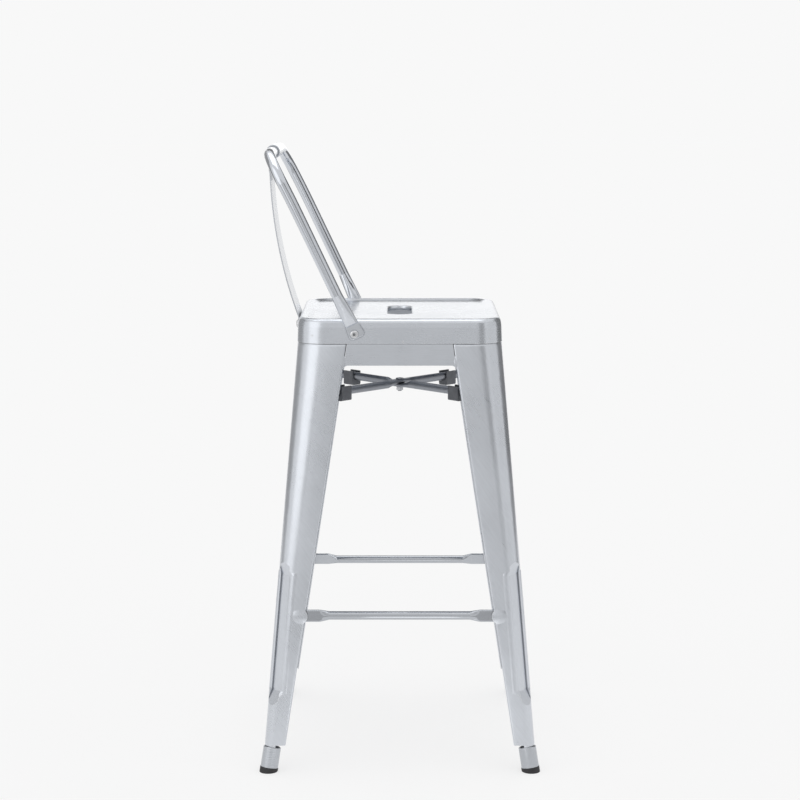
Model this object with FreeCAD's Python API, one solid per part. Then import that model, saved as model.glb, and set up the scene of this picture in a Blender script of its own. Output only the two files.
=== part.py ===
import FreeCAD, Part
import math
import os

# Pressed-steel counter stool with a low tube back, in millimetres.
# Z is up from the floor, the sitter faces -Y and the origin lies on the floor under the seat's centre.

V = FreeCAD.Vector

# Seat pan, drawn from one sheet
seat_width = 297.5
seat_height = 660.0
seat_sheet = 1.5
seat_corner_radius = 38.0
skirt_depth = 35.5
skirt_draft = 1.3
seat_shoulder_drop = 12.0
seat_shoulder_lean = 1.6
rim_radius = 7.0
rim_width = 15.0
dish_depth = 3.0
dish_slope = 7.0
slot_length = 112.0
slot_width = 35.0
slot_collar_depth = 7.0
slot_roll = 4.0

# Legs, folded from tapered sheet
leg_sheet = 1.8
leg_end_height = 40.0
leg_seam_step = 0.8
leg_end_face = 197.5
leg_end_edge = 166.7
leg_top_edge = 76.2
leg_end_radius = 14.5
leg_fold_inside = 1.2
leg_lip = 9.0
leg_crown = 0.025
leg_end_tongue = 20.0
seam_gap = 0.3
joggle_height = 3.0
tongue_drop = 12.0

# Flat pressed into the outer corner of each leg
flute_top = 302.0
flute_bottom = 102.0
flute_top_run = 13.0
flute_bottom_run = 16.0
flute_setback = 21.0
flute_margin = 5.0
flute_recess = 1.8
bead_radius = 8.0
bead_sink = 7.8
flute_overreach = 3.0

# Aprons between the legs
apron_sheet = 1.5
apron_depth = 31.5
apron_recess = 0.6
apron_gusset = 6.0

# Ferrules round the leg ends and the rubber feet in them
ferrule_radius = 12.9
ferrule_wall = 1.6
ferrule_step = 1.2
ferrule_drop = 4.5
ferrule_bottom = 6.0
ferrule_edge_round = 1.2
foot_slope = 0.154
foot_lip = 0.4
foot_stem = 9.0

# Rungs, tubes with flattened ends
rung_diameter = 12.7
rung_wall = 1.2
rung_flat_height = 18.0
rung_flat_thickness = 4.0
rung_flat_offset = 3.0
rung_flat_length = 35.0
rung_press_length = 14.0
rung_insert = 14.0
rung_set_in = 1.5
rung_slot_gap = 0.15
side_rung_height = 230.0
end_rung_height = 245.5

# Swelling pressed into the leg where a rung enters
swelling_radius = 12.0
swelling_height = 1.7
swelling_inset = 8.5

# Crossed brace under the seat
brace_height = 546.0
brace_diameter = 12.0
brace_wall = 1.2
brace_flat_width = 15.6
brace_flat_thickness = 5.6
brace_flat_length = 20.0
brace_press_length = 16.0
brace_bolt_head_height = 1.6
brace_bolt_head_round = 1.2
pad_width = 17.0
pad_length = 20.0
pad_base = 7.5
pad_rise = 2.0
left_pad_place = 74.0
right_pad_place = 84.0

# Back hoop, one bent tube
hoop_diameter = 16.0
hoop_wall = 1.5
hoop_bulge = 17.25
hoop_lean = 25.3
hoop_screw_place = 65.2
hoop_screw_drop = 21.0
hoop_screw_aside = 2.5
hoop_straight = 178.0
hoop_curve_radius = 2000.0
hoop_curve_length = 60.0
hoop_bend_radius = 45.0
hoop_tab_width = 24.0
hoop_tab_thickness = 3.6
hoop_tab_above = 12.5
hoop_tab_below = 7.5
hoop_tab_round = 5.5
hoop_tab_edge_round = 1.4
hoop_press_length = 49.0
hoop_waist_rise = 2.0
hoop_waist_width = 20.0
hoop_waist_thickness = 7.0

# Splat, a bowed strip looped round the hoop
splat_width = 85.0
splat_sheet = 2.0
splat_top_lean = 2.5
splat_bend_radius = 12.0
splat_loop_bend = 14.0
splat_set_back = 5.0
splat_tail = 30.0
splat_below_screw = 10.0
splat_above_screw = 9.0
splat_screw_spread = 25.0
splat_rivet_spread = 25.0
splat_rivet_rise = 14.0

# Screws, nuts and rivets
screw_diameter = 6.0
screw_hole = 6.6
screw_head_diameter = 12.0
screw_head_height = 3.4
screw_head_round = 2.4
screw_socket = 4.0
screw_socket_depth = 2.0
screw_end = 1.5
nut_across = 10.0
nut_thickness = 5.0
nut_bore = 6.3
rivet_diameter = 4.0
rivet_hole = 4.4
rivet_head_diameter = 8.0
rivet_head_height = 1.6
rivet_head_round = 1.2
screw_drill_length = 48.0
rivet_drill_length = 16.0

# Room left between pieces that are welded or seated on each other
seat_gap = 0.2

# How far cutting shapes run past the pieces that they cut
overrun = 5.0

seam_height = seat_height - skirt_depth
neck_height = seam_height - seam_gap
shoulder_height = neck_height - joggle_height
tongue_top = seat_height - tongue_drop
leg_seam_face = seat_width / 2 - leg_seam_step
leg_lean = math.atan((leg_end_face - leg_seam_face) / (seam_height - leg_end_height))
ferrule_top = leg_end_height - ferrule_drop
hoop_screw_height = seat_height - hoop_screw_drop


def skirt_face(z):
    """Distance of the skirt's outer face from the middle plane at height z."""
    return seat_width / 2 - skirt_draft * (z - seam_height) / skirt_depth


def tongue_face(z):
    """Outer face of what stands behind the skirt at height z."""
    return skirt_face(z) - seat_sheet - seat_gap


def leg_line(z):
    """Outer face, inner edge and corner radius of a leg below the seam, at height z."""
    share = (seam_height - z) / (seam_height - leg_end_height)
    face = leg_seam_face + share * (leg_end_face - leg_seam_face)
    edge = leg_top_edge + share * (leg_end_edge - leg_top_edge)
    radius = seat_corner_radius + share * (leg_end_radius - seat_corner_radius)
    return face, edge, radius


def line(a, b):
    return Part.LineSegment(a, b).toShape()


def arc(a, middle, b):
    return Part.Arc(a, middle, b).toShape()


def corner_arc(centre, radius, start_angle, turn=90.0):
    """Arc about centre in a level plane, from start_angle through turn, in degrees."""
    def at(angle):
        return centre + V(math.cos(math.radians(angle)), math.sin(math.radians(angle)), 0) * radius
    return arc(at(start_angle), at(start_angle + turn / 2), at(start_angle + turn))


def prism(wire, rise):
    return Part.Face(wire).extrude(rise)


def placed(shape, point, direction):
    """The shape with its own Z turned to direction and its origin moved to point."""
    moved = shape.copy()
    moved.Placement = FreeCAD.Placement(point, FreeCAD.Rotation(V(0, 0, 1), direction))
    return moved


def flip_x(shape):
    return shape.mirror(V(0, 0, 0), V(1, 0, 0))


def flip_y(shape):
    return shape.mirror(V(0, 0, 0), V(0, 1, 0))


def swap_xy(shape):
    return shape.mirror(V(0, 0, 0), V(1, -1, 0))


def one_solid(shape):
    """What a cut or fuse leaves, without seams across its faces: a solid, or all its solids together."""
    solids = shape.removeSplitter().Solids
    return solids[0] if len(solids) == 1 else Part.makeCompound(solids)


def strip_face(start, heading, moves, thickness):
    """Face of a bent strip in its own XY plane. Moves along the middle line are
    ("line", length) or ("arc", radius, turn), a positive turn going to the left."""
    half = thickness / 2
    edges = []

    def unit(angle):
        return V(math.cos(angle), math.sin(angle), 0)

    def sides(point, angle):
        normal = unit(angle + math.pi / 2)
        return point + normal * half, point - normal * half

    point = start
    angle = math.radians(heading)
    first = sides(point, angle)
    last = first
    for move in moves:
        if move[0] == "line":
            point = point + unit(angle) * move[1]
            here = sides(point, angle)
            edges += [line(last[0], here[0]), line(last[1], here[1])]
        else:
            turn = math.radians(move[2])
            to_centre = unit(angle + math.copysign(math.pi / 2, turn)) * move[1]
            centre = point + to_centre
            out = [centre - unit(angle + part * turn + math.copysign(math.pi / 2, turn)) * move[1]
                   for part in (0.5, 1.0)]
            middle = sides(out[0], angle + turn / 2)
            here = sides(out[1], angle + turn)
            edges += [arc(last[0], middle[0], here[0]), arc(last[1], middle[1], here[1])]
            point = out[1]
            angle = angle + turn
        last = here
    edges += [line(*first), line(*last)]
    return Part.Face(Part.Wire(Part.__sortEdges__(edges)))


def tube_section(half_tall, half_thick, offset, along):
    """Closed section of a tube at height along: round where both halves are equal, else flattened.
    Tall lies along X, thick along Y, and offset moves it along Y."""
    if half_tall == half_thick:
        cap = half_tall * math.sqrt(0.5)
        side = cap
    else:
        cap = half_tall - half_thick
        side = half_thick
    middle = V(0, offset, along)
    a = middle + V(cap, side, 0)
    b = middle + V(cap, -side, 0)
    c = middle + V(-cap, -side, 0)
    d = middle + V(-cap, side, 0)
    top_cap = arc(a, middle + V(half_tall, 0, 0), b)
    end_cap = arc(c, middle + V(-half_tall, 0, 0), d)
    if half_tall == half_thick:
        near_side = arc(b, middle + V(0, -half_thick, 0), c)
        far_side = arc(d, middle + V(0, half_thick, 0), a)
    else:
        near_side = line(b, c)
        far_side = line(d, a)
    return Part.Wire([top_cap, near_side, end_cap, far_side])


def pressed_tube(stations, inset):
    """Tube along its own Z through stations of (along, half tall, half thick, offset),
    with its skin moved inwards by inset."""
    wires = [tube_section(tall - inset, thick - inset, offset, along)
             for along, tall, thick, offset in stations]
    spans = [Part.makeLoft([low, high], True, True) for low, high in zip(wires, wires[1:])]
    body = spans[0]
    for span in spans[1:]:
        body = body.fuse(span)
    return body.removeSplitter()


def screw(length, head_height, head_round):
    """Socket screw along its own Z: the head's underside is at 0 and the shank runs down."""
    head = Part.makeCylinder(screw_head_diameter / 2, head_height)
    crown = [edge for edge in head.Edges if edge.BoundBox.ZMin > head_height / 2]
    head = head.makeFillet(head_round, crown)
    socket = hexagon(screw_socket, head_height - screw_socket_depth, head_height)
    shank = Part.makeCylinder(screw_diameter / 2, length, V(0, 0, -length))
    return one_solid(head.fuse(shank).cut(socket))


def hexagon(across, low, high):
    """Six-sided prism of a size across its flats, between two heights."""
    reach = across / math.sqrt(3)
    corners = [V(reach * math.cos(math.radians(60 * k)), reach * math.sin(math.radians(60 * k)), low)
               for k in range(7)]
    return prism(Part.makePolygon(corners), V(0, 0, high - low))


def nut():
    """Hexagon nut on its own Z, from 0 downwards."""
    bore = Part.makeCylinder(nut_bore / 2, nut_thickness + 2 * overrun, V(0, 0, -nut_thickness - overrun))
    return one_solid(hexagon(nut_across, -nut_thickness, 0).cut(bore))


def rivet(grip):
    """Rivet along its own Z through a grip that starts at 0 and runs down, with a head at both ends."""
    head = Part.makeCylinder(rivet_head_diameter / 2, rivet_head_height)
    crown = [edge for edge in head.Edges if edge.BoundBox.ZMin > rivet_head_height / 2]
    head = head.makeFillet(rivet_head_round, crown)
    tail = head.mirror(V(0, 0, 0), V(0, 0, 1)).translated(V(0, 0, -grip))
    shank = Part.makeCylinder(rivet_diameter / 2, grip, V(0, 0, -grip))
    return one_solid(head.fuse(shank).fuse(tail))


def drill(point, direction, diameter, length):
    """Cylinder for a hole, centred on point along direction."""
    bore = Part.makeCylinder(diameter / 2, length, V(0, 0, -length / 2))
    return placed(bore, point, direction)


# Where the hoop and the splat are screwed to the skirt
side_screw_points = [V(side * seat_width / 2, hoop_screw_place, hoop_screw_height) for side in (1, -1)]
rear_screw_points = [V(side * splat_screw_spread, seat_width / 2, hoop_screw_height) for side in (1, -1)]
skirt_drills = [drill(point, V(1, 0, 0), screw_hole, screw_drill_length) for point in side_screw_points]
skirt_drills += [drill(point, V(0, 1, 0), screw_hole, screw_drill_length) for point in rear_screw_points]


def drilled(shape):
    for bore in skirt_drills:
        shape = shape.cut(bore)
    return shape


def rounded_square(half, radius, z):
    """Level closed wire, square with rounded corners about the Z axis."""
    flat = half - radius
    edges = []
    for turn in range(4):
        angle = 90.0 * turn
        spin = FreeCAD.Rotation(V(0, 0, 1), angle)
        edges.append(line(spin.multVec(V(half, -flat, z)), spin.multVec(V(half, flat, z))))
        edges.append(corner_arc(spin.multVec(V(flat, flat, z)), radius, angle))
    return Part.Wire(edges)


def seat_form(inset, below):
    """Block inside the pan's outer skin moved inwards by inset, reaching below the seam."""
    low = seam_height - below
    top = seat_height - inset
    wires = []
    for z, lean in ((low, 0), (seat_height - seat_shoulder_drop, 0), (top, seat_shoulder_lean)):
        half = skirt_face(z) - lean - inset
        wires.append(rounded_square(half, seat_corner_radius - lean - inset, z))
    block = Part.makeLoft(wires, True, True)
    brim = [edge for edge in block.Edges if edge.BoundBox.ZMin > top - inset - seat_sheet]
    block = block.makeFillet(rim_radius - inset, brim)
    dish_half = seat_width / 2 - rim_width + inset
    dish_radius = seat_corner_radius - rim_width + inset
    spread = dish_slope / dish_depth * overrun
    dish_floor = rounded_square(dish_half - dish_slope, dish_radius - dish_slope / 2, top - dish_depth)
    dish_mouth = rounded_square(dish_half + spread, dish_radius + spread, top + overrun)
    return block.cut(Part.makeLoft([dish_floor, dish_mouth], True, True))


def slot_block(grow, low, high):
    """Upright oblong over the grip slot, grown outwards, between two heights."""
    half = slot_width / 2 + grow
    straight = (slot_length - slot_width) / 2
    a = V(straight, -half, low)
    b = V(straight, half, low)
    c = V(-straight, half, low)
    d = V(-straight, -half, low)
    wire = Part.Wire([arc(a, V(straight + half, 0, low), b), line(b, c),
                      arc(c, V(-straight - half, 0, low), d), line(d, a)])
    return prism(wire, V(0, 0, high - low))


def slot_edges(pan, grow, z):
    """Edges of the pan round the grip slot grown outwards, at height z."""
    room = slot_block(grow, z, z + overrun).BoundBox
    room.enlarge(seat_gap)
    return [edge for edge in pan.Edges
            if room.isInside(edge.BoundBox) and edge.BoundBox.ZMax < z + seat_gap]


def make_seat_pan():
    """Drawn pan with a rolled rim, a dished top and a grip slot with its edge turned down."""
    dish_top = seat_height - dish_depth
    pan = seat_form(0, 0).cut(seat_form(seat_sheet, overrun))
    collar = slot_block(seat_sheet, dish_top - slot_collar_depth, dish_top - seat_sheet / 2)
    pan = pan.fuse(collar)
    pan = one_solid(pan.cut(slot_block(0, dish_top - slot_collar_depth - overrun, seat_height)))
    pan = pan.makeFillet(slot_roll, slot_edges(pan, 0, dish_top))
    pan = pan.makeFillet(slot_roll - seat_sheet, slot_edges(pan, seat_sheet, dish_top - seat_sheet))
    return one_solid(drilled(pan))


def bowed(a, b, outward):
    """Edge from a to b, bowed by outward at its middle, or straight where that is nothing."""
    if outward.Length == 0:
        return line(a, b)
    return arc(a, (a + b) / 2 + outward, b)


def leg_wire(z, face, edge, radius, crown, inset):
    """Level section of the block that a leg in the +X +Y corner is wrapped round."""
    near = edge + inset
    far = face - inset
    fold = leg_fold_inside + leg_sheet - inset
    bend = radius - inset
    start = near + fold
    end = far - bend
    rise = crown * (end - start)
    return Part.Wire([
        line(V(near, near, z), V(far - fold, near, z)),
        corner_arc(V(far - fold, start, z), fold, -90),
        bowed(V(far, start, z), V(far, end, z), V(rise, 0, 0)),
        corner_arc(V(end, end, z), bend, 0),
        bowed(V(end, far, z), V(start, far, z), V(0, rise, 0)),
        corner_arc(V(start, far - fold, z), fold, 90),
        line(V(near, far - fold, z), V(near, near, z))])


def leg_levels(reach):
    """Heights, outer faces, inner edges, corner radii and crowns from a leg's lower end to its top."""
    low = leg_end_height - leg_end_tongue - reach
    tongue_radius = seat_corner_radius - seat_sheet - seat_gap
    levels = [(z,) + leg_line(z) + (leg_crown,) for z in (low, shoulder_height)]
    levels += [(z, tongue_face(z), leg_top_edge, tongue_radius, 0) for z in (neck_height, tongue_top + reach)]
    return levels


def leg_form(inset, reach):
    """Block inside a leg's outer skin moved inwards by inset."""
    wires = [leg_wire(*level, inset) for level in leg_levels(reach)]
    return Part.makeLoft(wires, True, True)


def leg_opening():
    """Room on the inner side of a leg, which leaves its two faces and their lips."""
    wires = []
    for z, face, edge, radius, crown in leg_levels(overrun):
        near = edge - overrun
        deep = edge + leg_sheet + overrun
        far = face - leg_lip
        wires.append(Part.makePolygon([V(near, near, z), V(far, near, z), V(far, deep, z),
                                       V(deep, far, z), V(near, far, z), V(near, near, z)]))
    return Part.makeLoft(wires, True, True)


def flute_cutter(sink, half_width):
    """Wedge that takes the outer corner off a leg between two sloping ends, sunk further by sink.
    The sloping ends run on past the corner by flute_overreach times their length."""
    def floor(z):
        return math.sqrt(2) * leg_line(z)[0] - flute_setback / math.sqrt(2) - sink

    def corner(z):
        face, edge, radius = leg_line(z)
        return math.sqrt(2) * face - radius * (math.sqrt(2) - 1) - sink

    across = V(math.sqrt(0.5), math.sqrt(0.5), 0)
    side = V(-math.sqrt(0.5), math.sqrt(0.5), 0)

    def point(out, z):
        return across * out + V(0, 0, z) - side * half_width

    upper_z = flute_top - flute_top_run
    lower_z = flute_bottom + flute_bottom_run
    upper = point(floor(upper_z), upper_z)
    lower = point(floor(lower_z), lower_z)
    upper_out = upper + (point(corner(flute_top), flute_top) - upper) * flute_overreach
    lower_out = lower + (point(corner(flute_bottom), flute_bottom) - lower) * flute_overreach
    return prism(Part.makePolygon([upper, upper_out, lower_out, lower, upper]), side * 2 * half_width)


def flute_flat(sink):
    """Flat across a leg's corner, sunk by sink."""
    return flute_cutter(sink, 2 * flute_setback)


def flute_panel(sink, grow):
    """Panel pressed into the flat, sunk by sink and widened by grow."""
    panel_half = flute_setback / math.sqrt(2) - flute_margin + grow
    return flute_cutter(sink + flute_recess, panel_half)


def flute_bead():
    """Rolled bead along the X side of the flute, bent to the leg's corner at both ends."""
    def border(z):
        face = leg_line(z)[0]
        outward = V(math.cos(math.radians(22.5)), math.sin(math.radians(22.5)), 0)
        return V(face, face - flute_setback, z) - outward * bead_sink

    def corner(z):
        face, edge, radius = leg_line(z)
        out = face - radius * (1 - math.sqrt(0.5)) - bead_sink * math.sqrt(0.5)
        return V(out, out, z)

    points = [corner(flute_bottom), border(flute_bottom + flute_bottom_run),
              border(flute_top - flute_top_run), corner(flute_top)]
    bead = Part.makeSphere(bead_radius, points[0])
    for a, b in zip(points, points[1:]):
        bead = bead.fuse(Part.makeCylinder(bead_radius, (b - a).Length, a, b - a))
        bead = bead.fuse(Part.makeSphere(bead_radius, b))
    return bead


def swelling(rung_height):
    """Round swelling on the X face of a leg where a rung enters, part of a ball that rises from the face."""
    face, edge, corner = leg_line(rung_height)
    out = V(math.cos(leg_lean), 0, math.sin(leg_lean))
    spot = V(face, edge + swelling_inset, rung_height)
    ball_radius = (swelling_radius ** 2 + swelling_height ** 2) / (2 * swelling_height)
    ball = Part.makeSphere(ball_radius, spot + out * (swelling_height - ball_radius))
    room = Part.makeCylinder(swelling_radius, leg_sheet + swelling_height, spot - out * leg_sheet / 2, out)
    return ball.common(room)


def foot_axis(z):
    """Point on the axis of the foot in the +X +Y corner, whose ferrule stands out from the leg's face."""
    out = leg_end_face + ferrule_step - ferrule_radius + foot_slope * (leg_end_height - z)
    return V(out, out, z)


foot_up = (foot_axis(1) - foot_axis(0)).normalize()


def rung_form(half_span, inset):
    """Rung along its own Z about its middle, its flats standing along X and set to +Y."""
    flat = (rung_flat_height / 2, rung_flat_thickness / 2, rung_flat_offset)
    tube = (rung_diameter / 2, rung_diameter / 2, 0)
    pressed = half_span - rung_flat_length
    straight = pressed - rung_press_length
    stations = [(-half_span,) + flat, (-pressed,) + flat, (-straight,) + tube,
                (straight,) + tube, (pressed,) + flat, (half_span,) + flat]
    return pressed_tube(stations, inset)


def side_rung(height, inset):
    """Rung between the legs' X faces on the +X side, leaning with those faces."""
    face, edge, radius = leg_line(height)
    depth = leg_sheet + seat_gap + rung_set_in + rung_flat_thickness / 2 + rung_flat_offset
    body = rung_form(edge + rung_insert, inset)
    upright = FreeCAD.Rotation(V(0, 0, 1), V(1, 0, 0), V(0, 1, 0), "XYZ")
    body.Placement = FreeCAD.Placement(V(0, 0, 0), upright)
    body.rotate(V(0, 0, 0), V(0, 1, 0), -math.degrees(leg_lean))
    out = V(math.cos(leg_lean), 0, math.sin(leg_lean))
    return body.translated(V(face, 0, height) - out * depth)


def make_rung(height):
    return one_solid(side_rung(height, 0).cut(side_rung(height, rung_wall)))


def make_leg():
    """Leg in the +X +Y corner: two tapered faces with folded lips and a rounded, fluted corner."""
    bead = flute_bead()
    outer = leg_form(0, 0).cut(flute_flat(0)).fuse(bead).fuse(swap_xy(bead)).cut(flute_panel(0, 0))
    outer = outer.fuse(swelling(side_rung_height)).fuse(swap_xy(swelling(end_rung_height)))
    inner = leg_form(leg_sheet, overrun).cut(flute_flat(leg_sheet)).cut(flute_panel(leg_sheet, flute_recess))
    shell = outer.cut(inner).cut(leg_opening())
    shell = shell.cut(side_rung(side_rung_height, -rung_slot_gap))
    shell = shell.cut(swap_xy(side_rung(end_rung_height, -rung_slot_gap)))
    corner = leg_end_face + 2 * ferrule_radius
    below = Part.makeBox(corner, corner, leg_end_height + overrun, V(0, 0, -overrun))
    bore_radius = ferrule_radius - ferrule_wall - seat_gap
    bore = Part.makeCylinder(bore_radius, 2 * leg_end_height, foot_axis(-overrun), foot_up)
    return one_solid(shell.cut(below.cut(bore)))


def make_ferrule():
    """Short sleeve welded round the leg's end, square to its own leaning axis."""
    low = foot_axis(ferrule_bottom)
    length = (foot_axis(ferrule_top) - low).Length
    sleeve = Part.makeCylinder(ferrule_radius, length)
    sleeve = sleeve.cut(Part.makeCylinder(ferrule_radius - ferrule_wall, length))
    rims = [edge for edge in sleeve.Edges
            if edge.BoundBox.ZMin > length / 2 and edge.BoundBox.XMax > ferrule_radius - ferrule_wall / 2]
    return placed(sleeve.makeFillet(ferrule_edge_round, rims), low, foot_up)


def make_rubber_foot():
    """Rubber plug under the ferrule, with a stem up its bore and a sole that lies flat on the floor."""
    seat = foot_axis(ferrule_bottom)
    height = 2 * (ferrule_bottom + ferrule_radius)
    sole = placed(Part.makeCylinder(ferrule_radius + foot_lip, height, V(0, 0, -height)), seat, foot_up)
    stem_radius = ferrule_radius - ferrule_wall - seat_gap
    stem = placed(Part.makeCylinder(stem_radius, foot_stem + overrun, V(0, 0, -overrun)), seat, foot_up)
    reach = 2 * seat_width
    floor = Part.makeBox(reach, reach, reach, V(0, 0, -reach))
    return one_solid(sole.fuse(stem).cut(floor))


def make_apron():
    """Plate between two legs on the +X side, stepped in at the top to stand behind the skirt."""
    half = apron_sheet / 2
    low = seam_height - apron_depth - 2 * apron_gusset

    def face_point(z):
        return V(leg_line(z)[0] - apron_recess - half, z, 0)

    def tongue_point(z):
        return V(tongue_face(z) - half, z, 0)

    points = [face_point(low), face_point(shoulder_height),
              tongue_point(neck_height), tongue_point(tongue_top)]
    skins = []
    for offset in (half, -half):
        skins.append([point + V(offset, 0, 0) for point in points])
    outline = skins[0] + skins[1][::-1] + skins[0][:1]
    profile = [V(point.x, -seat_width / 2, point.y) for point in outline]
    plate = prism(Part.makePolygon(profile), V(0, seat_width, 0))
    return one_solid(plate.common(apron_outline()))


def apron_outline():
    """Block seen from +X in the apron's outline: trapezoid between the legs with rounded lower corners."""
    foot = seam_height - apron_depth
    tip = foot - apron_gusset

    def end(z):
        return leg_line(z)[1] - seat_gap

    rise = apron_gusset * (1 - math.sqrt(0.5))
    near = end(foot) - apron_gusset
    bulge = end(foot) - rise
    top = tongue_top + overrun
    right = [V(0, near, foot), V(0, bulge, foot - rise), V(0, end(tip), tip),
             V(0, end(seam_height), seam_height), V(0, end(seam_height), top)]
    left = [V(0, -point.y, point.z) for point in right]
    wire = Part.Wire([line(left[0], right[0]), arc(*right[0:3]), line(right[2], right[3]),
                      line(right[3], right[4]), line(right[4], left[4]), line(left[4], left[3]),
                      line(left[3], left[2]), arc(left[2], left[1], left[0])])
    return prism(wire, V(seat_width, 0, 0))


def brace_bar(level, inset):
    """Brace tube along its own Z, pressed flat where the two cross; level is 1 above and -1 below."""
    reach = math.sqrt(2) * seat_width / 2
    tube = (brace_diameter / 2, brace_diameter / 2, 0)
    lift = level * (brace_flat_thickness / 2 + seat_gap / 2)
    flat = (brace_flat_width / 2, brace_flat_thickness / 2, lift)
    flat_end = brace_flat_length / 2
    tube_start = flat_end + brace_press_length
    stations = [(-reach,) + tube, (-tube_start,) + tube, (-flat_end,) + flat,
                (flat_end,) + flat, (tube_start,) + tube, (reach,) + tube]
    return pressed_tube(stations, inset)


def on_diagonal(shape, angle):
    """The shape with its own Z laid along a level diagonal at brace height and its Y turned up."""
    moved = shape.copy()
    along = V(math.cos(math.radians(angle)), math.sin(math.radians(angle)), 0)
    side = V(0, 0, 1).cross(along)
    turn = FreeCAD.Rotation(side, V(0, 0, 1), along, "XYZ")
    moved.Placement = FreeCAD.Placement(V(0, 0, brace_height), turn)
    return moved


def make_brace_bar(level, angle):
    """Bar between two opposite legs, its ends shaped to the inside of their corners."""
    tube = brace_bar(level, 0).cut(brace_bar(level, brace_wall))
    hole = drill(V(0, 0, 0), V(0, 1, 0), screw_hole, screw_drill_length)
    bar = on_diagonal(tube.cut(hole), angle)
    room = leg_form(leg_sheet + seat_gap, 0)
    face, edge, radius = leg_line(brace_height)
    middle = (face + edge) / 2
    corner = Part.makeBox(seat_width, seat_width, 2 * brace_diameter,
                          V(middle, middle, brace_height - brace_diameter))
    stop = corner.cut(room)
    for spin in (angle - 45, angle + 135):
        bar = bar.cut(stop.rotated(V(0, 0, 0), V(0, 0, 1), spin))
    return one_solid(bar)


def make_brace_pad(angle, place):
    """Moulded shoe round a brace bar, open above and thick below, at a place along X and Y."""
    middle = place * math.sqrt(2)
    half = brace_diameter / 2 + seat_gap
    low = -brace_diameter / 2 - pad_base
    block = Part.makeBox(pad_width, brace_diameter / 2 + pad_rise - low, pad_length,
                         V(-pad_width / 2, low, middle - pad_length / 2))
    lower_edges = [edge for edge in block.Edges
                   if edge.BoundBox.YMax < low / 2 and edge.BoundBox.ZLength > pad_length / 2]
    block = block.makeFillet((pad_width - 2 * half) / 2, lower_edges)
    groove = Part.makeCylinder(half, pad_length + 2 * overrun, V(0, 0, middle - pad_length / 2 - overrun))
    mouth = Part.makeBox(2 * half, brace_diameter, pad_length + 2 * overrun,
                         V(-half, 0, middle - pad_length / 2 - overrun))
    return on_diagonal(one_solid(block.cut(groove).cut(mouth)), angle)


def make_brace_bolt():
    grip = 2 * brace_flat_thickness + 3 * seat_gap
    bolt = screw(grip + nut_thickness + screw_end, brace_bolt_head_height, brace_bolt_head_round)
    top = brace_flat_thickness + 3 * seat_gap / 2
    return bolt.translated(V(0, 0, brace_height + top))


def make_brace_nut():
    low = brace_flat_thickness + 3 * seat_gap / 2
    return nut().translated(V(0, 0, brace_height - low))


hoop_half = seat_width / 2 + hoop_bulge
hoop_up = V(0, math.sin(math.radians(hoop_lean)), math.cos(math.radians(hoop_lean)))
hoop_cross = V(0, -hoop_up.z, hoop_up.y)
hoop_tab_face = skirt_face(hoop_screw_height - hoop_tab_below) + seat_gap
hoop_tab_middle = hoop_tab_face + hoop_tab_thickness / 2


def hoop_point(along):
    """Point on the hoop's +X leg at a distance up its lean from the screw, which sits to one side of it."""
    return V(hoop_half, hoop_screw_place, hoop_screw_height) + hoop_cross * hoop_screw_aside + hoop_up * along


def hoop_curve_point(along):
    """Point and direction on the backward curve of the hoop's +X leg, from the end of its straight run."""
    angle = math.radians(hoop_lean) + along / hoop_curve_radius
    start = math.radians(hoop_lean)
    shift = V(0, math.cos(start) - math.cos(angle), math.sin(angle) - math.sin(start)) * hoop_curve_radius
    return hoop_point(hoop_straight) + shift, V(0, math.sin(angle), math.cos(angle))


hoop_bend_start, hoop_bend_up = hoop_curve_point(hoop_curve_length)
hoop_top_middle = V(0, hoop_bend_start.y, hoop_bend_start.z) + hoop_bend_up * hoop_bend_radius
hoop_tube_start = hoop_tab_above + hoop_press_length


def hoop_path():
    """Middle line of the round tube: up one leg, over the top and down the other."""
    curve_middle = hoop_curve_point(hoop_curve_length / 2)[0]
    slant = math.sqrt(0.5) * hoop_bend_radius
    bend_middle = hoop_bend_start + hoop_bend_up * slant + V(slant - hoop_bend_radius, 0, 0)
    top_end = V(hoop_half - hoop_bend_radius, hoop_top_middle.y, hoop_top_middle.z)
    leg = [hoop_point(hoop_tube_start), hoop_point(hoop_straight), curve_middle, hoop_bend_start,
           bend_middle, top_end]
    other = [V(-point.x, point.y, point.z) for point in leg]
    edges = [line(leg[0], leg[1]), arc(*leg[1:4]), arc(*leg[3:6]), line(leg[5], other[5]),
             arc(other[5], other[4], other[3]), arc(other[3], other[2], other[1]), line(other[1], other[0])]
    return Part.Wire(edges)


def hoop_tube(radius):
    ring = Part.Wire(Part.makeCircle(radius, hoop_point(hoop_tube_start), hoop_up))
    return hoop_path().makePipeShell([ring], True, False)


def hoop_end(inset):
    """Pressed stretch of the +X leg, from the round tube down to a crease above the flat tab."""
    radius = hoop_diameter / 2
    run = hoop_half - hoop_tab_middle
    waist = hoop_waist_width / 2
    waist_offset = (hoop_waist_thickness - hoop_tab_thickness) / 2 - run
    stations = [(hoop_tab_above, waist, hoop_tab_thickness / 2, -run),
                (hoop_tab_above + hoop_waist_rise, waist, hoop_waist_thickness / 2, waist_offset),
                (hoop_tube_start, radius, radius, 0)]
    body = pressed_tube(stations, inset)
    turn = FreeCAD.Rotation(hoop_cross, V(1, 0, 0), hoop_up, "XYZ")
    body.Placement = FreeCAD.Placement(hoop_point(0), turn)
    return body


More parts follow.
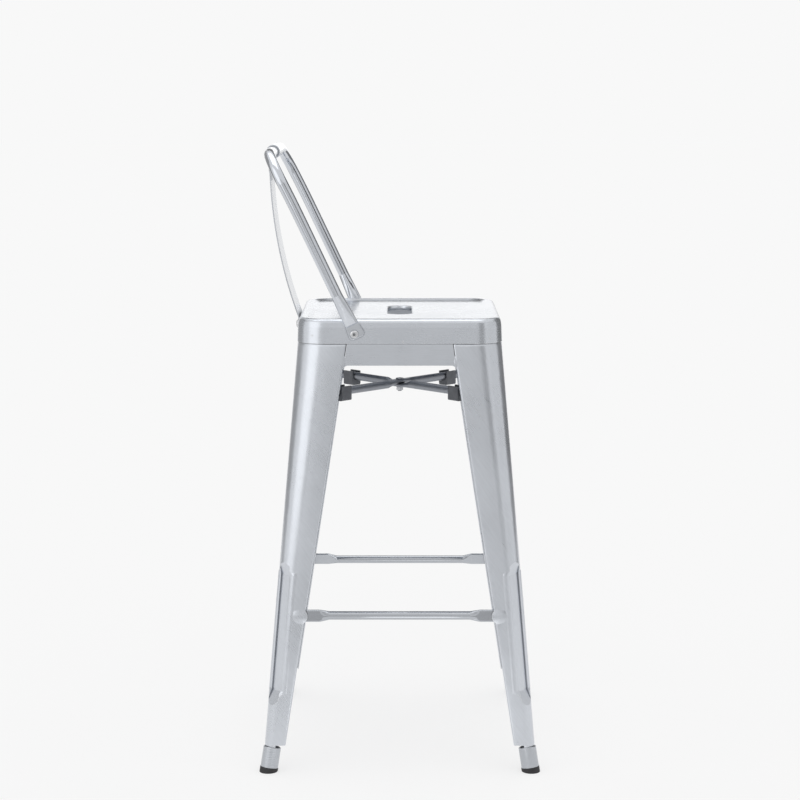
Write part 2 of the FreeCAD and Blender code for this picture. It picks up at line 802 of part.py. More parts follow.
def hoop_tab():
    """Flat end of the +X leg, flared towards its toes, which lies on the skirt and takes the screw."""
    length = hoop_tab_above + hoop_tab_below
    waist = hoop_waist_width / 2
    toe = hoop_tab_width / 2
    corners = [V(-waist, 0, hoop_tab_above), V(waist, 0, hoop_tab_above),
               V(toe, 0, -hoop_tab_below), V(-toe, 0, -hoop_tab_below)]
    plate = prism(Part.makePolygon(corners + corners[:1]), V(0, hoop_tab_thickness, 0))
    toes = [edge for edge in plate.Edges
            if edge.BoundBox.ZMax < -hoop_tab_below / 2 and edge.BoundBox.YLength > hoop_tab_thickness / 2]
    plate = plate.makeFillet(hoop_tab_round, toes)
    rims = [edge for edge in plate.Edges
            if edge.BoundBox.YMin > hoop_tab_thickness / 2 and edge.BoundBox.ZMin < hoop_tab_above / 2]
    plate = plate.makeFillet(hoop_tab_edge_round, rims)
    slit_width = hoop_waist_width - 2 * hoop_wall
    slit_thickness = hoop_tab_thickness - 2 * hoop_wall
    slit = Part.makeBox(slit_width, slit_thickness, length + overrun,
                        V(-slit_width / 2, hoop_wall, -hoop_tab_below - overrun))
    turn = FreeCAD.Rotation(hoop_cross, V(1, 0, 0), hoop_up, "XYZ")
    tab = plate.cut(slit)
    tab.Placement = FreeCAD.Placement(hoop_point(0) + V(hoop_tab_face - hoop_half, 0, 0), turn)
    return tab


def make_back_hoop():
    """Bent tube with both ends pressed flat and screwed to the sides of the skirt."""
    tube = hoop_tube(hoop_diameter / 2).cut(hoop_tube(hoop_diameter / 2 - hoop_wall))
    end = hoop_end(0).cut(hoop_end(hoop_wall)).fuse(hoop_tab())
    return one_solid(drilled(tube.fuse(end).fuse(flip_x(end))))


def splat_moves():
    """Start, heading and moves of the splat's middle line in its own plane, X to the rear and Y up."""
    half = splat_sheet / 2
    lean = math.radians(splat_top_lean)
    up = V(math.sin(lean), math.cos(lean), 0)
    rear = V(math.cos(lean), -math.sin(lean), 0)
    bar = V(hoop_top_middle.y, hoop_top_middle.z, 0)
    loop = hoop_diameter / 2 + seat_gap + half
    pinch = half + seat_gap / 2
    turned = splat_loop_bend + loop
    rear_wrap = math.acos((pinch + splat_loop_bend + splat_set_back) / turned)
    front_wrap = math.acos((pinch + splat_loop_bend - splat_set_back) / turned)
    rear_drop = turned * math.sin(rear_wrap)
    front_drop = turned * math.sin(front_wrap)
    bow_end = bar - up * (rear_drop + splat_tail) + rear * (pinch + splat_set_back)
    low = hoop_screw_height - splat_below_screw
    start = V(skirt_face(low) + seat_gap + half, low, 0)
    knee = start + V(0, splat_below_screw + splat_above_screw, 0)
    tilt = knee_tilt(knee, bow_end, lean)
    bow_start = knee + V(1 - math.cos(tilt), math.sin(tilt), 0) * splat_bend_radius
    chord = bow_end - bow_start
    bow_radius = chord.Length ** 2 / (2 * chord.dot(rear))
    bow_turn = 2 * math.asin(chord.Length / (2 * bow_radius))
    moves = [("line", splat_below_screw + splat_above_screw),
             ("arc", splat_bend_radius, -math.degrees(tilt)),
             ("arc", bow_radius, math.degrees(bow_turn)),
             ("line", splat_tail),
             ("arc", splat_loop_bend, -math.degrees(rear_wrap)),
             ("arc", loop, 180 + math.degrees(rear_wrap + front_wrap)),
             ("arc", splat_loop_bend, -math.degrees(front_wrap)),
             ("line", splat_tail + rear_drop - front_drop)]
    return start, moves, bow_end, rear


def knee_tilt(knee, bow_end, lean):
    """Angle at which the splat leaves the skirt so that its bow ends at bow_end leaning by lean."""
    tilt = lean
    for step in range(40):
        bow_start = knee + V(1 - math.cos(tilt), math.sin(tilt), 0) * splat_bend_radius
        chord = bow_end - bow_start
        tilt = 2 * math.atan2(chord.x, chord.y) - lean
    return tilt


def make_back_splat():
    """Bowed strip, screwed to the rear skirt and looped round the hoop's top, its tail riveted to it."""
    start, moves, bow_end, rear = splat_moves()
    face = strip_face(start, 90.0, moves, splat_sheet)
    strip = face.extrude(V(0, 0, splat_width))
    upright = FreeCAD.Rotation(V(0, 1, 0), V(0, 0, 1), V(1, 0, 0), "XYZ")
    strip.Placement = FreeCAD.Placement(V(-splat_width / 2, 0, 0), upright)
    for point, direction in splat_rivet_points():
        strip = strip.cut(drill(point, direction, rivet_hole, rivet_drill_length))
    return one_solid(drilled(strip))


def splat_rivet_points():
    """Where the rivets' rear heads sit on the splat, with the way that they point."""
    start, moves, bow_end, rear = splat_moves()
    up = V(-rear.y, rear.x, 0)
    spot = bow_end + up * splat_rivet_rise + rear * splat_sheet / 2
    direction = V(0, rear.x, rear.y)
    return [(V(side * splat_rivet_spread, spot.x, spot.y), direction) for side in (1, -1)]


def make_splat_rivets():
    grip = 2 * splat_sheet + seat_gap
    return Part.makeCompound([placed(rivet(grip), point, direction)
                              for point, direction in splat_rivet_points()])


def nut_seat():
    """Inner face of the aprons' upper part at the height of the nuts' upper corners."""
    return tongue_face(hoop_screw_height + nut_across / math.sqrt(3)) - apron_sheet - seat_gap


def make_screws(points, head_face):
    """Screws through the skirt at points, their heads on head_face, and the nuts behind the apron."""
    inner = nut_seat()
    length = head_face - inner + nut_thickness + screw_end
    screws = []
    nuts = []
    for point in points:
        outward = V(0, 1, 0) if abs(point.y) > abs(point.x) else V(math.copysign(1, point.x), 0, 0)
        level = point - outward * seat_width / 2
        fastener = screw(length, screw_head_height, screw_head_round)
        screws.append(placed(fastener, level + outward * head_face, outward))
        nuts.append(placed(nut(), level + outward * inner, outward))
    return Part.makeCompound(screws), Part.makeCompound(nuts)


def four_corners(name, shape):
    """The piece in the +X +Y corner and its mirrors at the other three."""
    return {name + "_rear_left": shape, name + "_rear_right": flip_x(shape),
            name + "_front_left": flip_y(shape), name + "_front_right": flip_x(flip_y(shape))}


def four_sides(name, shape):
    """The piece on the +X side and its like on the other three, each with its screw holes."""
    end = swap_xy(shape)
    return {name + "_left": one_solid(drilled(shape)), name + "_right": one_solid(drilled(flip_x(shape))),
            name + "_rear": one_solid(drilled(end)), name + "_front": one_solid(drilled(flip_y(end)))}


side_rung_piece = make_rung(side_rung_height)
end_rung_piece = swap_xy(make_rung(end_rung_height))
tab_front = hoop_tab_face + hoop_tab_thickness + seat_gap
splat_front = skirt_face(hoop_screw_height - splat_below_screw) + splat_sheet + 2 * seat_gap

pieces = {"seat_pan": make_seat_pan()}
pieces.update(four_sides("apron", make_apron()))
pieces.update(four_corners("leg", make_leg()))
pieces.update(four_corners("foot_ferrule", make_ferrule()))
pieces.update(four_corners("rubber_foot", make_rubber_foot()))
pieces["rung_left"] = side_rung_piece
pieces["rung_right"] = flip_x(side_rung_piece)
pieces["rung_rear"] = end_rung_piece
pieces["rung_front"] = flip_y(end_rung_piece)
pieces["brace_bar_upper"] = make_brace_bar(1, 135)
pieces["brace_bar_lower"] = make_brace_bar(-1, 45)
for name, angle, place in (("rear_left", 45, left_pad_place), ("rear_right", 135, right_pad_place),
                           ("front_right", 225, right_pad_place), ("front_left", 315, left_pad_place)):
    pieces["brace_pad_" + name] = make_brace_pad(angle, place)
pieces["brace_bolt"] = make_brace_bolt()
pieces["brace_nut"] = make_brace_nut()
pieces["back_hoop"] = make_back_hoop()
pieces["back_splat"] = make_back_splat()
pieces["splat_rivets"] = make_splat_rivets()
pieces["hoop_screws"], pieces["hoop_nuts"] = make_screws(side_screw_points, tab_front)
pieces["splat_screws"], pieces["splat_nuts"] = make_screws(rear_screw_points, splat_front)

os.makedirs("parts", exist_ok=True)
for name, shape in pieces.items():
    shape.exportStep("parts/" + name + ".step")
    print(name, shape.isValid(), len(shape.Solids), round(shape.Volume))
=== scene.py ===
import math

import bmesh
import bpy
from mathutils import Matrix, Vector


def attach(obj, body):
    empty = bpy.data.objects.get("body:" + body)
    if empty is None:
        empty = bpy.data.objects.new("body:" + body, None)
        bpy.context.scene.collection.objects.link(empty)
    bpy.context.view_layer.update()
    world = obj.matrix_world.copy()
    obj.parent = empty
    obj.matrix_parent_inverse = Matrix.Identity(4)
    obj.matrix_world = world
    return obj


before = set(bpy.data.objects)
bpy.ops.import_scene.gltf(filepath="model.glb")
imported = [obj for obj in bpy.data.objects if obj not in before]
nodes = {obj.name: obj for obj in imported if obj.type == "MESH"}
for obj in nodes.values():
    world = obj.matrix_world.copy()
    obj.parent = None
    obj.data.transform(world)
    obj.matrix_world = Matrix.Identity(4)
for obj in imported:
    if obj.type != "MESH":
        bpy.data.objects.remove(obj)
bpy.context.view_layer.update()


# Legs: four pieces of steel sheet, folded to a rounded corner with lips along their inner edges.
# The sheet is bare under clear lacquer, brushed at a slant, and a flat is pressed into each corner.

def new_material(name):
    """A material whose shader is joined to its output, with its node tree and that shader."""
    material = bpy.data.materials.new(name)
    material.use_nodes = True
    tree = material.node_tree
    tree.nodes.clear()
    output = tree.nodes.new("ShaderNodeOutputMaterial")
    shader = tree.nodes.new("ShaderNodeBsdfPrincipled")
    tree.links.new(shader.outputs["BSDF"], output.inputs["Surface"])
    return material, tree, shader


def add_node(tree, kind, **settings):
    """A node of that kind with its properties set."""
    node = tree.nodes.new(kind)
    for key, value in settings.items():
        setattr(node, key, value)
    return node


def add_noise(tree, place, scale, detail, roughness):
    """The value of a noise at a place."""
    noise = add_node(tree, "ShaderNodeTexNoise")
    noise.inputs["Scale"].default_value = scale
    noise.inputs["Detail"].default_value = detail
    noise.inputs["Roughness"].default_value = roughness
    tree.links.new(place, noise.inputs["Vector"])
    return noise.outputs["Fac"]


def add_range(tree, value, start, end, low, high):
    """A value whose stretch from start to end is laid over low to high."""
    stretch = add_node(tree, "ShaderNodeMapRange")
    for key, number in (("From Min", start), ("From Max", end), ("To Min", low), ("To Max", high)):
        stretch.inputs[key].default_value = number
    tree.links.new(value, stretch.inputs["Value"])
    return stretch.outputs["Result"]


def blend(tree, share, first, second):
    """Two values mixed, with that share of the second."""
    mix = add_node(tree, "ShaderNodeMix", data_type="FLOAT")
    mix.inputs[0].default_value = share
    tree.links.new(first, mix.inputs[2])
    tree.links.new(second, mix.inputs[3])
    return mix.outputs[0]


def two_tones(tree, value, low, dark, high, light):
    """A colour that runs from dark at a low value to light at a high one."""
    ramp = add_node(tree, "ShaderNodeValToRGB")
    for stop, position, colour in zip(ramp.color_ramp.elements, (low, high), (dark, light)):
        stop.position = position
        stop.color = (*colour, 1)
    tree.links.new(value, ramp.inputs["Fac"])
    return ramp.outputs["Color"]


def lay_over(tree, mask, colour, under):
    """A plain colour laid over another one as far as the mask says."""
    mix = add_node(tree, "ShaderNodeMix", data_type="RGBA")
    mix.inputs[7].default_value = (*colour, 1)
    tree.links.new(mask, mix.inputs[0])
    tree.links.new(under, mix.inputs[6])
    return mix.outputs[2]


def round_edges(tree, radius, samples):
    """The surface's normal with sharp edges rounded to a radius."""
    edge = add_node(tree, "ShaderNodeBevel", samples=samples)
    edge.inputs["Radius"].default_value = radius
    return edge.outputs["Normal"]


def raise_relief(tree, height, strength, distance, under):
    """A normal with a height laid on it."""
    relief = add_node(tree, "ShaderNodeBump")
    relief.inputs["Strength"].default_value = strength
    relief.inputs["Distance"].default_value = distance
    tree.links.new(height, relief.inputs["Height"])
    tree.links.new(under, relief.inputs["Normal"])
    return relief.outputs["Normal"]


def make_brushed_sheet():
    """Group for rolled and brushed sheet: its streaks, cloudy patches and small pits as one tone,
    one gloss value and one height."""
    group = bpy.data.node_groups.new("brushed sheet", "ShaderNodeTree")
    for name in ("Streak Vector", "Patch Vector"):
        group.interface.new_socket(name, in_out="INPUT", socket_type="NodeSocketVector")
    for name in ("Tone", "Gloss", "Height"):
        group.interface.new_socket(name, in_out="OUTPUT", socket_type="NodeSocketFloat")
    inside = group.nodes.new("NodeGroupInput")
    outside = group.nodes.new("NodeGroupOutput")
    streaks = add_noise(group, inside.outputs["Streak Vector"], 1.0, 5.0, 0.6)
    patches = add_noise(group, inside.outputs["Patch Vector"], 9.0, 4.0, 0.55)
    pits = add_noise(group, inside.outputs["Patch Vector"], 600.0, 2.0, 0.5)
    group.links.new(blend(group, 0.6, streaks, patches), outside.inputs["Tone"])
    group.links.new(blend(group, 0.65, streaks, patches), outside.inputs["Gloss"])
    group.links.new(blend(group, 0.12, streaks, pits), outside.inputs["Height"])
    return group


def make_edge_wear_and_shade():
    """Group for marks on metal: edges lightened, partly as worn metal and partly as a painted highlight, and
    painted shade darkening tight corners, seams and creases.
    """
    group = bpy.data.node_groups.new("edge wear and painted shade", "ShaderNodeTree")
    for name in ("Wear and Highlight", "Painted Shade"):
        group.interface.new_socket(name, in_out="OUTPUT", socket_type="NodeSocketFloat")
    outside = group.nodes.new("NodeGroupOutput")
    surface = add_node(group, "ShaderNodeNewGeometry")
    # Edges where the rounded normal turns from the true one are lightened, partly as worn metal and partly as a
    # painted highlight.
    along = add_node(group, "ShaderNodeVectorMath", operation="DOT_PRODUCT")
    group.links.new(round_edges(group, 0.0012, 6), along.inputs[0])
    group.links.new(surface.outputs["Normal"], along.inputs[1])
    # Occlusion darkens tight corners, seams and creases as painted shade.
    open_sky = add_node(group, "ShaderNodeAmbientOcclusion", samples=8)
    open_sky.inputs["Distance"].default_value = 0.004
    turned = add_range(group, along.outputs["Value"], 0.995, 0.88, 0.0, 1.0)
    proud = add_range(group, open_sky.outputs["AO"], 0.75, 0.95, 0.0, 1.0)
    wear_and_highlight = add_node(group, "ShaderNodeMath", operation="MULTIPLY")
    group.links.new(turned, wear_and_highlight.inputs[0])
    group.links.new(proud, wear_and_highlight.inputs[1])
    group.links.new(wear_and_highlight.outputs[0], outside.inputs["Wear and Highlight"])
    group.links.new(add_range(group, open_sky.outputs["AO"], 0.78, 0.36, 0.0, 1.0), outside.inputs["Painted Shade"])
    return group


brushed_sheet = make_brushed_sheet()
edge_wear_and_shade = make_edge_wear_and_shade()
# Tone laid on edges: partly worn metal, partly a painted highlight.
worn_highlight_tone = (0.80, 0.81, 0.83)


def make_steel(name, dark, light, gloss, streak_size, coat, bump, wobble, streak_turn=(0.0, 0.0, 0.0),
               painted_shade_tone=(0.12, 0.125, 0.135)):
    """Bare steel from two tones, a range of roughness, the streaks' fineness along each axis, its share
    of lacquer, the depth of its brushing, how far it wobbles in metres, the streaks' slant and its painted shade."""
    material, tree, shader = new_material(name)
    link = tree.links.new
    place = add_node(tree, "ShaderNodeTexCoord").outputs["Object"]
    slant = add_node(tree, "ShaderNodeMapping")
    slant.inputs["Rotation"].default_value = streak_turn
    link(place, slant.inputs["Vector"])
    stretch = add_node(tree, "ShaderNodeMapping")
    stretch.inputs["Scale"].default_value = streak_size
    link(slant.outputs["Vector"], stretch.inputs["Vector"])
    sheet = add_node(tree, "ShaderNodeGroup", node_tree=brushed_sheet)
    link(stretch.outputs["Vector"], sheet.inputs["Streak Vector"])
    link(place, sheet.inputs["Patch Vector"])
    marks = add_node(tree, "ShaderNodeGroup", node_tree=edge_wear_and_shade)
    tone = two_tones(tree, sheet.outputs["Tone"], 0.3, dark, 0.7, light)
    # Edges get a lighter tone, partly worn metal and partly a painted highlight; tight corners, seams and creases
    # get painted shade.
    worn_and_highlighted = lay_over(tree, marks.outputs["Wear and Highlight"], worn_highlight_tone, tone)
    link(lay_over(tree, marks.outputs["Painted Shade"], painted_shade_tone, worn_and_highlighted), shader.inputs["Base Color"])
    link(add_range(tree, sheet.outputs["Gloss"], 0.3, 0.7, *gloss), shader.inputs["Roughness"])
    waves = add_noise(tree, place, 16.0, 2.0, 0.4)
    swayed = raise_relief(tree, waves, 1.0, wobble, round_edges(tree, 0.0006, 4))
    link(raise_relief(tree, sheet.outputs["Height"], bump, 0.0002, swayed), shader.inputs["Normal"])
    shader.inputs["Metallic"].default_value = 1.0
    shader.inputs["Coat Weight"].default_value = coat
    shader.inputs["Coat Roughness"].default_value = 0.08
    return material


def dress(material, *names):
    """The material on every face of those pieces."""
    for name in names:
        piece = nodes[name]
        piece.data.materials.clear()
        piece.data.materials.append(material)


corners = ("rear_left", "rear_right", "front_left", "front_right")
leg_steel = make_steel("lacquered leg steel", dark=(0.56, 0.583, 0.621), light=(0.66, 0.687, 0.732),
                       gloss=(0.24, 0.36), streak_size=(420, 420, 12), coat=0.35, bump=0.005, wobble=0.0008,
                       streak_turn=(0.6, 0.0, 0.0))
dress(leg_steel, *["leg_" + corner for corner in corners])


# Aprons: four plates between the legs' tops, of the same sheet, brushed level.
# Their ends are welded to the legs' edges along the lower part, and the welds are ground smooth.

apron_steel = make_steel("lacquered apron steel", dark=(0.53, 0.552, 0.588), light=(0.63, 0.656, 0.70),
                         gloss=(0.24, 0.36), streak_size=(40, 40, 900), coat=0.35, bump=0.04, wobble=0.0008)
dress(apron_steel, "apron_left", "apron_right", "apron_rear", "apron_front")


def join(whole, part):
    """The part's mesh added to the whole."""
    mesh = bpy.data.meshes.new("part")
    part.to_mesh(mesh)
    part.free()
    whole.from_mesh(mesh)
    bpy.data.meshes.remove(mesh)


def add_piece(name, shape, material):
    """The finished shape as a new piece of the stool in that material."""
    bmesh.ops.recalc_face_normals(shape, faces=shape.faces)
    mesh = bpy.data.meshes.new(name)
    shape.to_mesh(mesh)
    shape.free()
    for face in mesh.polygons:
        face.use_smooth = True
    mesh.materials.append(material)
    piece = bpy.data.objects.new(name, mesh)
    bpy.context.scene.collection.objects.link(piece)
    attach(piece, "root")


weld_top = 0.6065
weld_length = 0.0190
weld_depth = 0.0010
weld_rows = 10
weld_across = ((-0.0024, -0.00056), (-0.0010, -0.00042), (0.0004, -0.00026), (0.0018, -0.00012),
               (0.0030, -0.00002), (0.0042, 0.00003))
weld_middle = 0.0009
weld_end_sink = 0.0009
weld_end_share = 0.02
weld_bluntness = 0.35
seam_height = 0.6245
seam_face = 0.14795
seam_edge = 0.0762
face_slope = 0.0848
edge_slope = 0.1548
lengthwise = Matrix.Identity(4)
crosswise = Matrix(((0, 1, 0, 0), (1, 0, 0, 0), (0, 0, 1, 0), (0, 0, 0, 1)))
lanes = len(weld_across) - 1
welds = bmesh.new()
for way in (lengthwise, crosswise):
    for side in (1, -1):
        for end in (1, -1):
            skin = bmesh.new()
            grid = bmesh.ops.create_grid(skin, x_segments=weld_rows, y_segments=lanes, size=0.5)
            for vert in grid["verts"]:
                share = vert.co.x + 0.5
                offset, rise = weld_across[round((vert.co.y + 0.5) * lanes)]
                drop = share * weld_length
                below = seam_height - (weld_top - drop)
                inner = min(max(share, weld_end_share), 1 - weld_end_share)
                fullness = math.sin(math.pi * inner) ** weld_bluntness
                out = seam_face + below * face_slope + rise - (1 - fullness) * weld_end_sink
                along = seam_edge + below * edge_slope + weld_middle + (offset - weld_middle) * fullness
                vert.co = (out, along, weld_top - drop)
            lifted = bmesh.ops.extrude_face_region(skin, geom=skin.faces[:])
            back = [part for part in lifted["geom"] if isinstance(part, bmesh.types.BMVert)]
            bmesh.ops.translate(skin, vec=(-weld_depth, 0, 0), verts=back)
            bmesh.ops.transform(skin, matrix=way @ Matrix.Diagonal((side, end, 1, 1)), verts=skin.verts)
            join(welds, skin)
add_piece("apron_welds", welds, apron_steel)


# Seat pan: one sheet drawn into a shallow tray with a rounded rim, a dished top and a grip slot.
# It is lacquered like the legs but polished brighter, and it is spot-welded over the legs' tops.
# The spots leave small browned rings on its skirt.

seat_steel = make_steel("lacquered seat steel", dark=(0.58, 0.604, 0.643), light=(0.615, 0.64, 0.683),
                        gloss=(0.24, 0.30), streak_size=(40, 40, 900), coat=0.35, bump=0.004, wobble=0.0012)
dress(seat_steel, "seat_pan")

mark_profile = ((0.0, 0.00003), (0.0007, 0.00002), (0.0011, 0.00016), (0.0015, 0.00012), (0.0018, -0.0003),
                (0.0, -0.0003))
mark_steps = 16
mark_places = ((0.126, 0.6360), (-0.0047, 0.6275), (-0.1296, 0.6317))
skirt_half = 0.1487
skirt_radius = 0.038
skirt_slope = 0.0366
marks = bmesh.new()
for side in (1, -1):
    for along, height in mark_places:
        half = skirt_half - skirt_slope * (height - seam_height)
        past = max(abs(along) - (half - skirt_radius), 0.0)
        angle = math.copysign(math.asin(past / skirt_radius), along)
        out = half - skirt_radius * (1 - math.cos(angle))
        ring = bmesh.new()
        verts = [ring.verts.new((radius, 0, rise)) for radius, rise in mark_profile]
        edges = [ring.edges.new(pair) for pair in zip(verts, verts[1:])]
        bmesh.ops.spin(ring, geom=verts + edges, cent=(0, 0, 0), axis=(0, 0, 1), angle=2 * math.pi,
                       steps=mark_steps, use_merge=True)
        bmesh.ops.remove_doubles(ring, verts=ring.verts, dist=0.00001)
        outward = Vector((side * math.cos(angle), math.sin(angle), 0))
        turn = outward.to_track_quat("Z", "Y").to_matrix().to_4x4()
        bmesh.ops.transform(ring, matrix=Matrix.Translation((side * out, along, height)) @ turn, verts=ring.verts)
        join(marks, ring)
mark_steel = make_steel("weld-browned steel", dark=(0.16, 0.163, 0.168), light=(0.30, 0.305, 0.31),
                        gloss=(0.35, 0.5), streak_size=(600, 600, 600), coat=0.2, bump=0.1, wobble=0.0001)
add_piece("seat_weld_marks", marks, mark_steel)


# Ferrules and feet: a short steel sleeve is welded round each leg's end, and a plug of black rubber
# is pushed up into it to stand on the floor.

ferrule_steel = make_steel("turned ferrule steel", dark=(0.43, 0.448, 0.477), light=(0.53, 0.552, 0.588),
                           gloss=(0.2, 0.3), streak_size=(60, 60, 900), coat=0.2, bump=0.05, wobble=0.0001)
dress(ferrule_steel, *["foot_ferrule_" + corner for corner in corners])


def make_dull(name, dark, light, roughness, grain, bump):
    """Moulded rubber or plastic with a fine grain and cloudy scuffs."""
    material, tree, shader = new_material(name)
    link = tree.links.new
    place = add_node(tree, "ShaderNodeTexCoord").outputs["Object"]
    scuffs = add_noise(tree, place, 120.0, 5.0, 0.6)
    link(two_tones(tree, scuffs, 0.35, dark, 0.75, light), shader.inputs["Base Color"])
    link(add_range(tree, scuffs, 0.3, 0.7, *roughness), shader.inputs["Roughness"])
    specks = add_noise(tree, place, grain, 2.0, 0.5)
    link(raise_relief(tree, specks, bump, 0.0002, round_edges(tree, 0.0006, 4)), shader.inputs["Normal"])
    return material


foot_rubber = make_dull("black foot rubber", dark=(0.012, 0.012, 0.014), light=(0.035, 0.035, 0.038),
                        roughness=(0.55, 0.75), grain=2500.0, bump=0.3)
dress(foot_rubber, *["rubber_foot_" + corner for corner in corners])


# Rungs: four drawn tubes, pressed flat at both ends and pushed through slots in the legs' lips.
# The drawn skin is glossier than the sheet and streaked along its length.

for name, streak_size, pair in (("drawn side rung tube", (1200, 20, 1200), ("rung_left", "rung_right")),
                                ("drawn end rung tube", (20, 1200, 1200), ("rung_rear", "rung_front"))):
    rung_tube = make_steel(name, dark=(0.44, 0.458, 0.488), light=(0.53, 0.552, 0.588), gloss=(0.08, 0.14),
                           streak_size=streak_size, coat=0.3, bump=0.004, wobble=0.0002)
    dress(rung_tube, *pair)


# Brace: two tubes crossed under the seat, each pressed to half its height where they meet, with a
# bolt and nut through both. Each arm carries a moulded shoe of dark plastic.

# The tubes and the bolt get a dark tone that is mostly painted shade from the seat above them.
brace_tube = make_steel("dull brace tube in painted shade", dark=(0.24, 0.25, 0.275), light=(0.34, 0.355, 0.385),
                        gloss=(0.32, 0.45), streak_size=(600, 600, 600), coat=0.0, bump=0.06, wobble=0.0002)
dress(brace_tube, "brace_bar_upper", "brace_bar_lower", "brace_bolt")
pad_plastic = make_dull("dark shoe plastic", dark=(0.095, 0.1, 0.112), light=(0.145, 0.151, 0.166),
                        roughness=(0.45, 0.6), grain=1800.0, bump=0.25)
dress(pad_plastic, *["brace_pad_" + corner for corner in corners])


# Back hoop: one tube bent over the seat, its ends pressed flat and screwed to the sides of the skirt.
# It is drawn and polished, so it mirrors more sharply than the sheet.

# Its painted shade in tight corners is lighter than on the sheet.
hoop_tube = make_steel("polished hoop tube", dark=(0.56, 0.583, 0.621), light=(0.64, 0.666, 0.71),
                       gloss=(0.10, 0.16), streak_size=(1200, 40, 40), coat=0.5, bump=0.004, wobble=0.0003,
                       painted_shade_tone=(0.34, 0.352, 0.372))
dress(hoop_tube, "back_hoop")


# Splat: a bowed strip of steel, screwed to the rear of the skirt and looped round the hoop's top,
# where two rivets hold its tail.

# Its painted shade is kept light where it loops round the hoop.
splat_steel = make_steel("rolled splat strip", dark=(0.56, 0.583, 0.621), light=(0.64, 0.666, 0.71),
                         gloss=(0.16, 0.24), streak_size=(900, 60, 60), coat=0.3, bump=0.004, wobble=0.0004,
                         painted_shade_tone=(0.5, 0.52, 0.55))
dress(splat_steel, "back_splat")


# Fasteners: steel screws, nuts and rivets, plated with zinc, that hold the hoop, the splat and its loop,
# and the nut under the brace's crossing. They are brighter than the pieces that they hold.

zinc = make_steel("bright zinc plate", dark=(0.58, 0.585, 0.60), light=(0.70, 0.705, 0.72), gloss=(0.14, 0.28),
                  streak_size=(700, 700, 700), coat=0.0, bump=0.15, wobble=0.0001)
dress(zinc, "splat_rivets", "hoop_screws", "hoop_nuts", "splat_screws", "splat_nuts", "brace_nut")


# Floor: a wide pale sheet that the stool stands on, which keeps its soft shadow.
# It glows a little, more so away from the stool, to run into the white behind it.

floor_reach = 30.0
shadow_radius = 0.15
plain_radius = 0.55
near_paint = (0.36, 0.36, 0.36, 1)
far_paint = (0.2, 0.2, 0.2, 1)
near_glow = (0.60, 0.60, 0.60, 1)
far_glow = (0.739, 0.739, 0.739, 1)
floor_mesh = bpy.data.meshes.new("floor")
sheet = bmesh.new()
bmesh.ops.create_grid(sheet, x_segments=1, y_segments=1, size=floor_reach)
sheet.to_mesh(floor_mesh)
sheet.free()
floor = bpy.data.objects.new("floor", floor_mesh)
bpy.context.scene.collection.objects.link(floor)
floor_paint, tree, shader = new_material("pale floor")
place = add_node(tree, "ShaderNodeTexCoord")
distance = add_node(tree, "ShaderNodeVectorMath", operation="LENGTH")
tree.links.new(place.outputs["Object"], distance.inputs[0])
away = add_range(tree, distance.outputs["Value"], shadow_radius, plain_radius, 0.0, 1.0)
away.node.interpolation_type = "SMOOTHSTEP"
for socket, near, far in (("Base Color", near_paint, far_paint), ("Emission Color", near_glow, far_glow)):
    mix = add_node(tree, "ShaderNodeMix", data_type="RGBA")
    mix.inputs[6].default_value = near
    mix.inputs[7].default_value = far
    tree.links.new(away, mix.inputs[0])
    tree.links.new(mix.outputs[2], shader.inputs[socket])
shader.inputs["Emission Strength"].default_value = 1.0
shader.inputs["Roughness"].default_value = 0.9
shader.inputs["Specular IOR Level"].default_value = 0.0
floor_mesh.materials.append(floor_paint)


# Light: an even white dome, white and dark cards that only the bright metal mirrors, and a white
# world behind everything.

backdrop_tone = 0.939
world = bpy.data.worlds.new("white surround")
bpy.context.scene.world = world
world.use_nodes = True
tree = world.node_tree
tree.nodes.clear()
link = tree.links.new
path = tree.nodes.new("ShaderNodeLightPath")
surround = tree.nodes.new("ShaderNodeBackground")
surround.inputs["Color"].default_value = (1, 1, 1, 1)
backdrop = tree.nodes.new("ShaderNodeBackground")
backdrop.inputs["Color"].default_value = (backdrop_tone, backdrop_tone, backdrop_tone, 1)
seen = add_node(tree, "ShaderNodeMath", operation="MAXIMUM")
link(path.outputs["Is Camera Ray"], seen.inputs[0])
link(path.outputs["Is Glossy Ray"], seen.inputs[1])
clear = add_node(tree, "ShaderNodeMath", operation="MAXIMUM")
link(seen.outputs[0], clear.inputs[0])
link(path.outputs["Is Transmission Ray"], clear.inputs[1])
mixed = tree.nodes.new("ShaderNodeMixShader")
link(clear.outputs[0], mixed.inputs["Fac"])
link(surround.outputs[0], mixed.inputs[1])
link(backdrop.outputs[0], mixed.inputs[2])
output = tree.nodes.new("ShaderNodeOutputWorld")
link(mixed.outputs[0], output.inputs["Surface"])


def make_card(name, place, facing, width, height, level, lean=0.0):
    """Card that glows evenly at a level, seen by the bright metal only; it may lean in its own plane."""
    mesh = bpy.data.meshes.new(name)
    shape = bmesh.new()
    bmesh.ops.create_grid(shape, x_segments=1, y_segments=1, size=0.5)
    bmesh.ops.scale(shape, vec=(width, height, 1.0), verts=shape.verts)
    turn = facing.to_track_quat("Z", "Y").to_matrix().to_4x4() @ Matrix.Rotation(lean, 4, "Z")
    bmesh.ops.transform(shape, matrix=Matrix.Translation(place) @ turn, verts=shape.verts)
    shape.to_mesh(mesh)
    shape.free()
    card = bpy.data.objects.new(name, mesh)
    bpy.context.scene.collection.objects.link(card)
    paint = bpy.data.materials.new(name)
    paint.use_nodes = True
    card_tree = paint.node_tree
    card_tree.nodes.clear()
    glow = card_tree.nodes.new("ShaderNodeEmission")
    glow.inputs["Color"].default_value = (1, 1, 1, 1)
    glow.inputs["Strength"].default_value = level
    end = card_tree.nodes.new("ShaderNodeOutputMaterial")
    card_tree.links.new(glow.outputs[0], end.inputs["Surface"])
    mesh.materials.append(paint)
    card.visible_camera = False
    card.visible_diffuse = False
    card.visible_transmission = False
    card.visible_volume_scatter = False
    card.visible_shadow = False


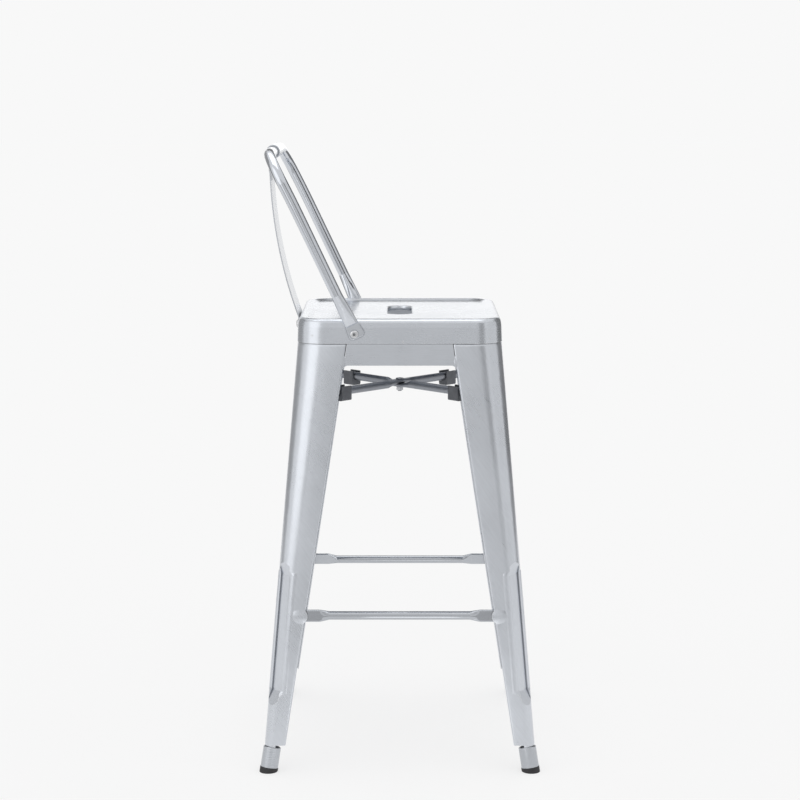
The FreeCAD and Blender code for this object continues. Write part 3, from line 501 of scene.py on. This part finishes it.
def stand_card(name, azimuth, elevation, distance, width, height, level):
    """Card that stands round the stool's middle; its azimuth runs from the camera to the camera's left."""
    turn = math.radians(azimuth)
    rise = math.radians(elevation)
    away = Vector((-math.cos(turn) * math.cos(rise), math.sin(turn) * math.cos(rise), math.sin(rise)))
    make_card(name, Vector((0, 0, 0.5)) + away * distance, -away, width, height, level)


stand_card("front grey card", azimuth=2, elevation=11, distance=2.4, width=1.10, height=1.15, level=0.74)
stand_card("front right dark card", azimuth=-27, elevation=11, distance=2.4, width=0.98, height=1.15, level=0.38)
stand_card("right grey card", azimuth=-72, elevation=13, distance=2.2, width=1.55, height=1.7, level=0.80)
stand_card("rear right dark card", azimuth=-128, elevation=14, distance=2.0, width=2.1, height=2.0, level=0.24)
stand_card("left white card", azimuth=44, elevation=15, distance=2.2, width=1.75, height=1.9, level=1.45)
stand_card("rear left grey card", azimuth=122, elevation=14, distance=2.0, width=2.1, height=2.0, level=0.40)
stand_card("rear high dark card", azimuth=180, elevation=38, distance=2.2, width=1.6, height=0.9, level=0.25)
stand_card("rear low white card", azimuth=180, elevation=12.6, distance=2.6, width=1.2, height=0.44, level=1.38)
stand_card("overhead white card", azimuth=90, elevation=85, distance=1.8, width=1.6, height=1.6, level=1.8)
upward = Vector((0, 0, 1))
make_card("near white strip", Vector((-0.55, -0.02, 0.004)), upward, width=0.34, height=0.15, level=1.6)
make_card("low dark strip", Vector((-5.0, 0, 0.01)), upward, width=8.0, height=8.0, level=0.62)
make_card("back dark strip", Vector((0.005, 0.02, 0.824)), Vector((0.807, 0.557, -0.2015)), width=0.07, height=0.24,
          level=0.10, lean=math.radians(-20.5))


# Camera: at the stool's right side, a little above the seat, as the photograph was taken.
# It stands well back with a long lens, so the far legs lie almost behind the near ones.

lens = bpy.data.cameras.new("camera")
lens.sensor_width = 36.0
lens.lens = 89.82
camera = bpy.data.objects.new("camera", lens)
camera.location = (-2.993, -0.0004, 0.997)
pitch = math.radians(9.07)
camera.rotation_mode = "QUATERNION"
camera.rotation_quaternion = Vector((math.cos(pitch), 0.0, -math.sin(pitch))).to_track_quat("-Z", "Y")
bpy.context.scene.collection.objects.link(camera)
bpy.context.scene.camera = camera
bpy.context.scene.view_settings.view_transform = "Standard"
